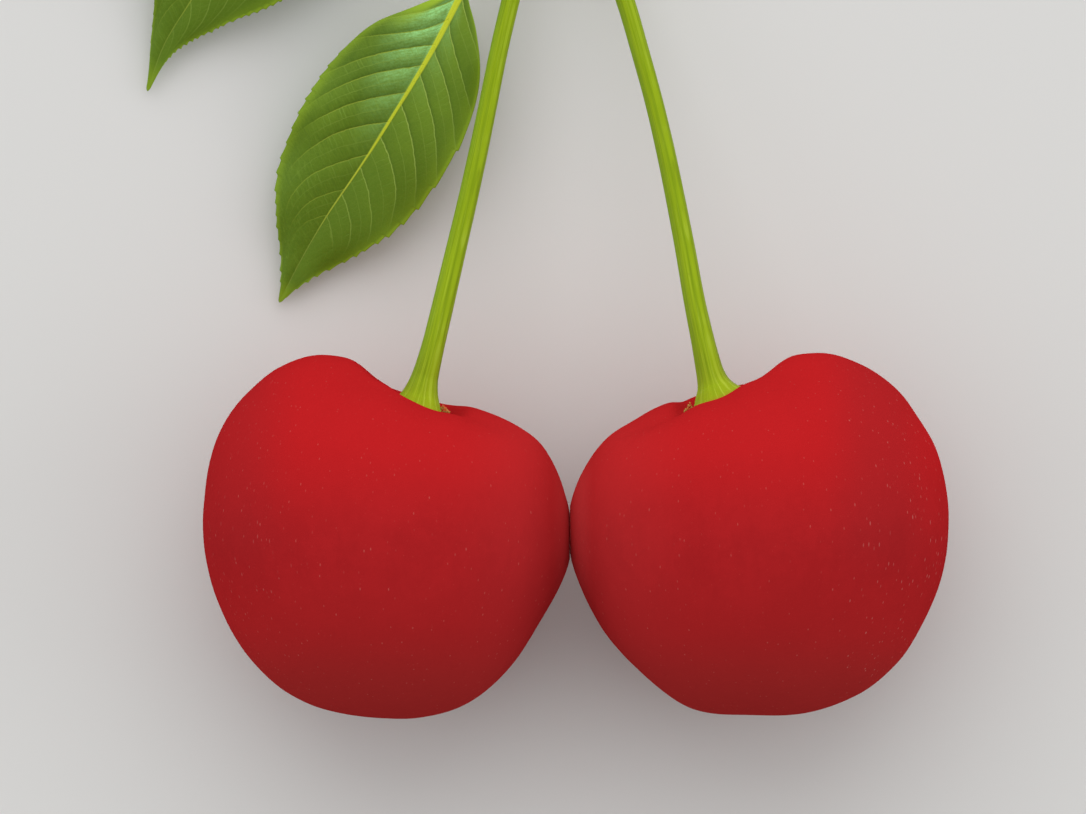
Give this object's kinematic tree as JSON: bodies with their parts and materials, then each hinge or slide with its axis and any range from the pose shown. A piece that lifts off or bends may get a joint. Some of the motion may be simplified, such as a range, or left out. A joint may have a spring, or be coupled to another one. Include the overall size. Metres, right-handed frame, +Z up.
{
  "type": "cherries on stalks",
  "caption": "Pair of ripe sweet cherries lying as picked, on long green stalks that grow with toothed leaves from a short woody spur.",
  "frame": {"origin": "on the surface that the cherries lie on, under the middle of the whole cluster's box", "axes": "+X across the pair from the left cherry to the right one, +Y from the fruits along the stalks towards the spur, +Z up from the surface"},
  "size_m": [0.0554, 0.0691, 0.023],
  "materials": {
    "cherry_skin": "gloss",
    "stalk_green": "satin",
    "leaf_green": "satin",
    "spur_bark": "matte"
  },
  "bodies": {
    "root": {"cherry_left": "cherry_skin", "cherry_right": "cherry_skin", "stalk_left": "stalk_green", "stalk_right": "stalk_green", "leaf_lower": "leaf_green", "leaf_upper": "leaf_green", "spur": "spur_bark"}
  },
  "joints": []
}
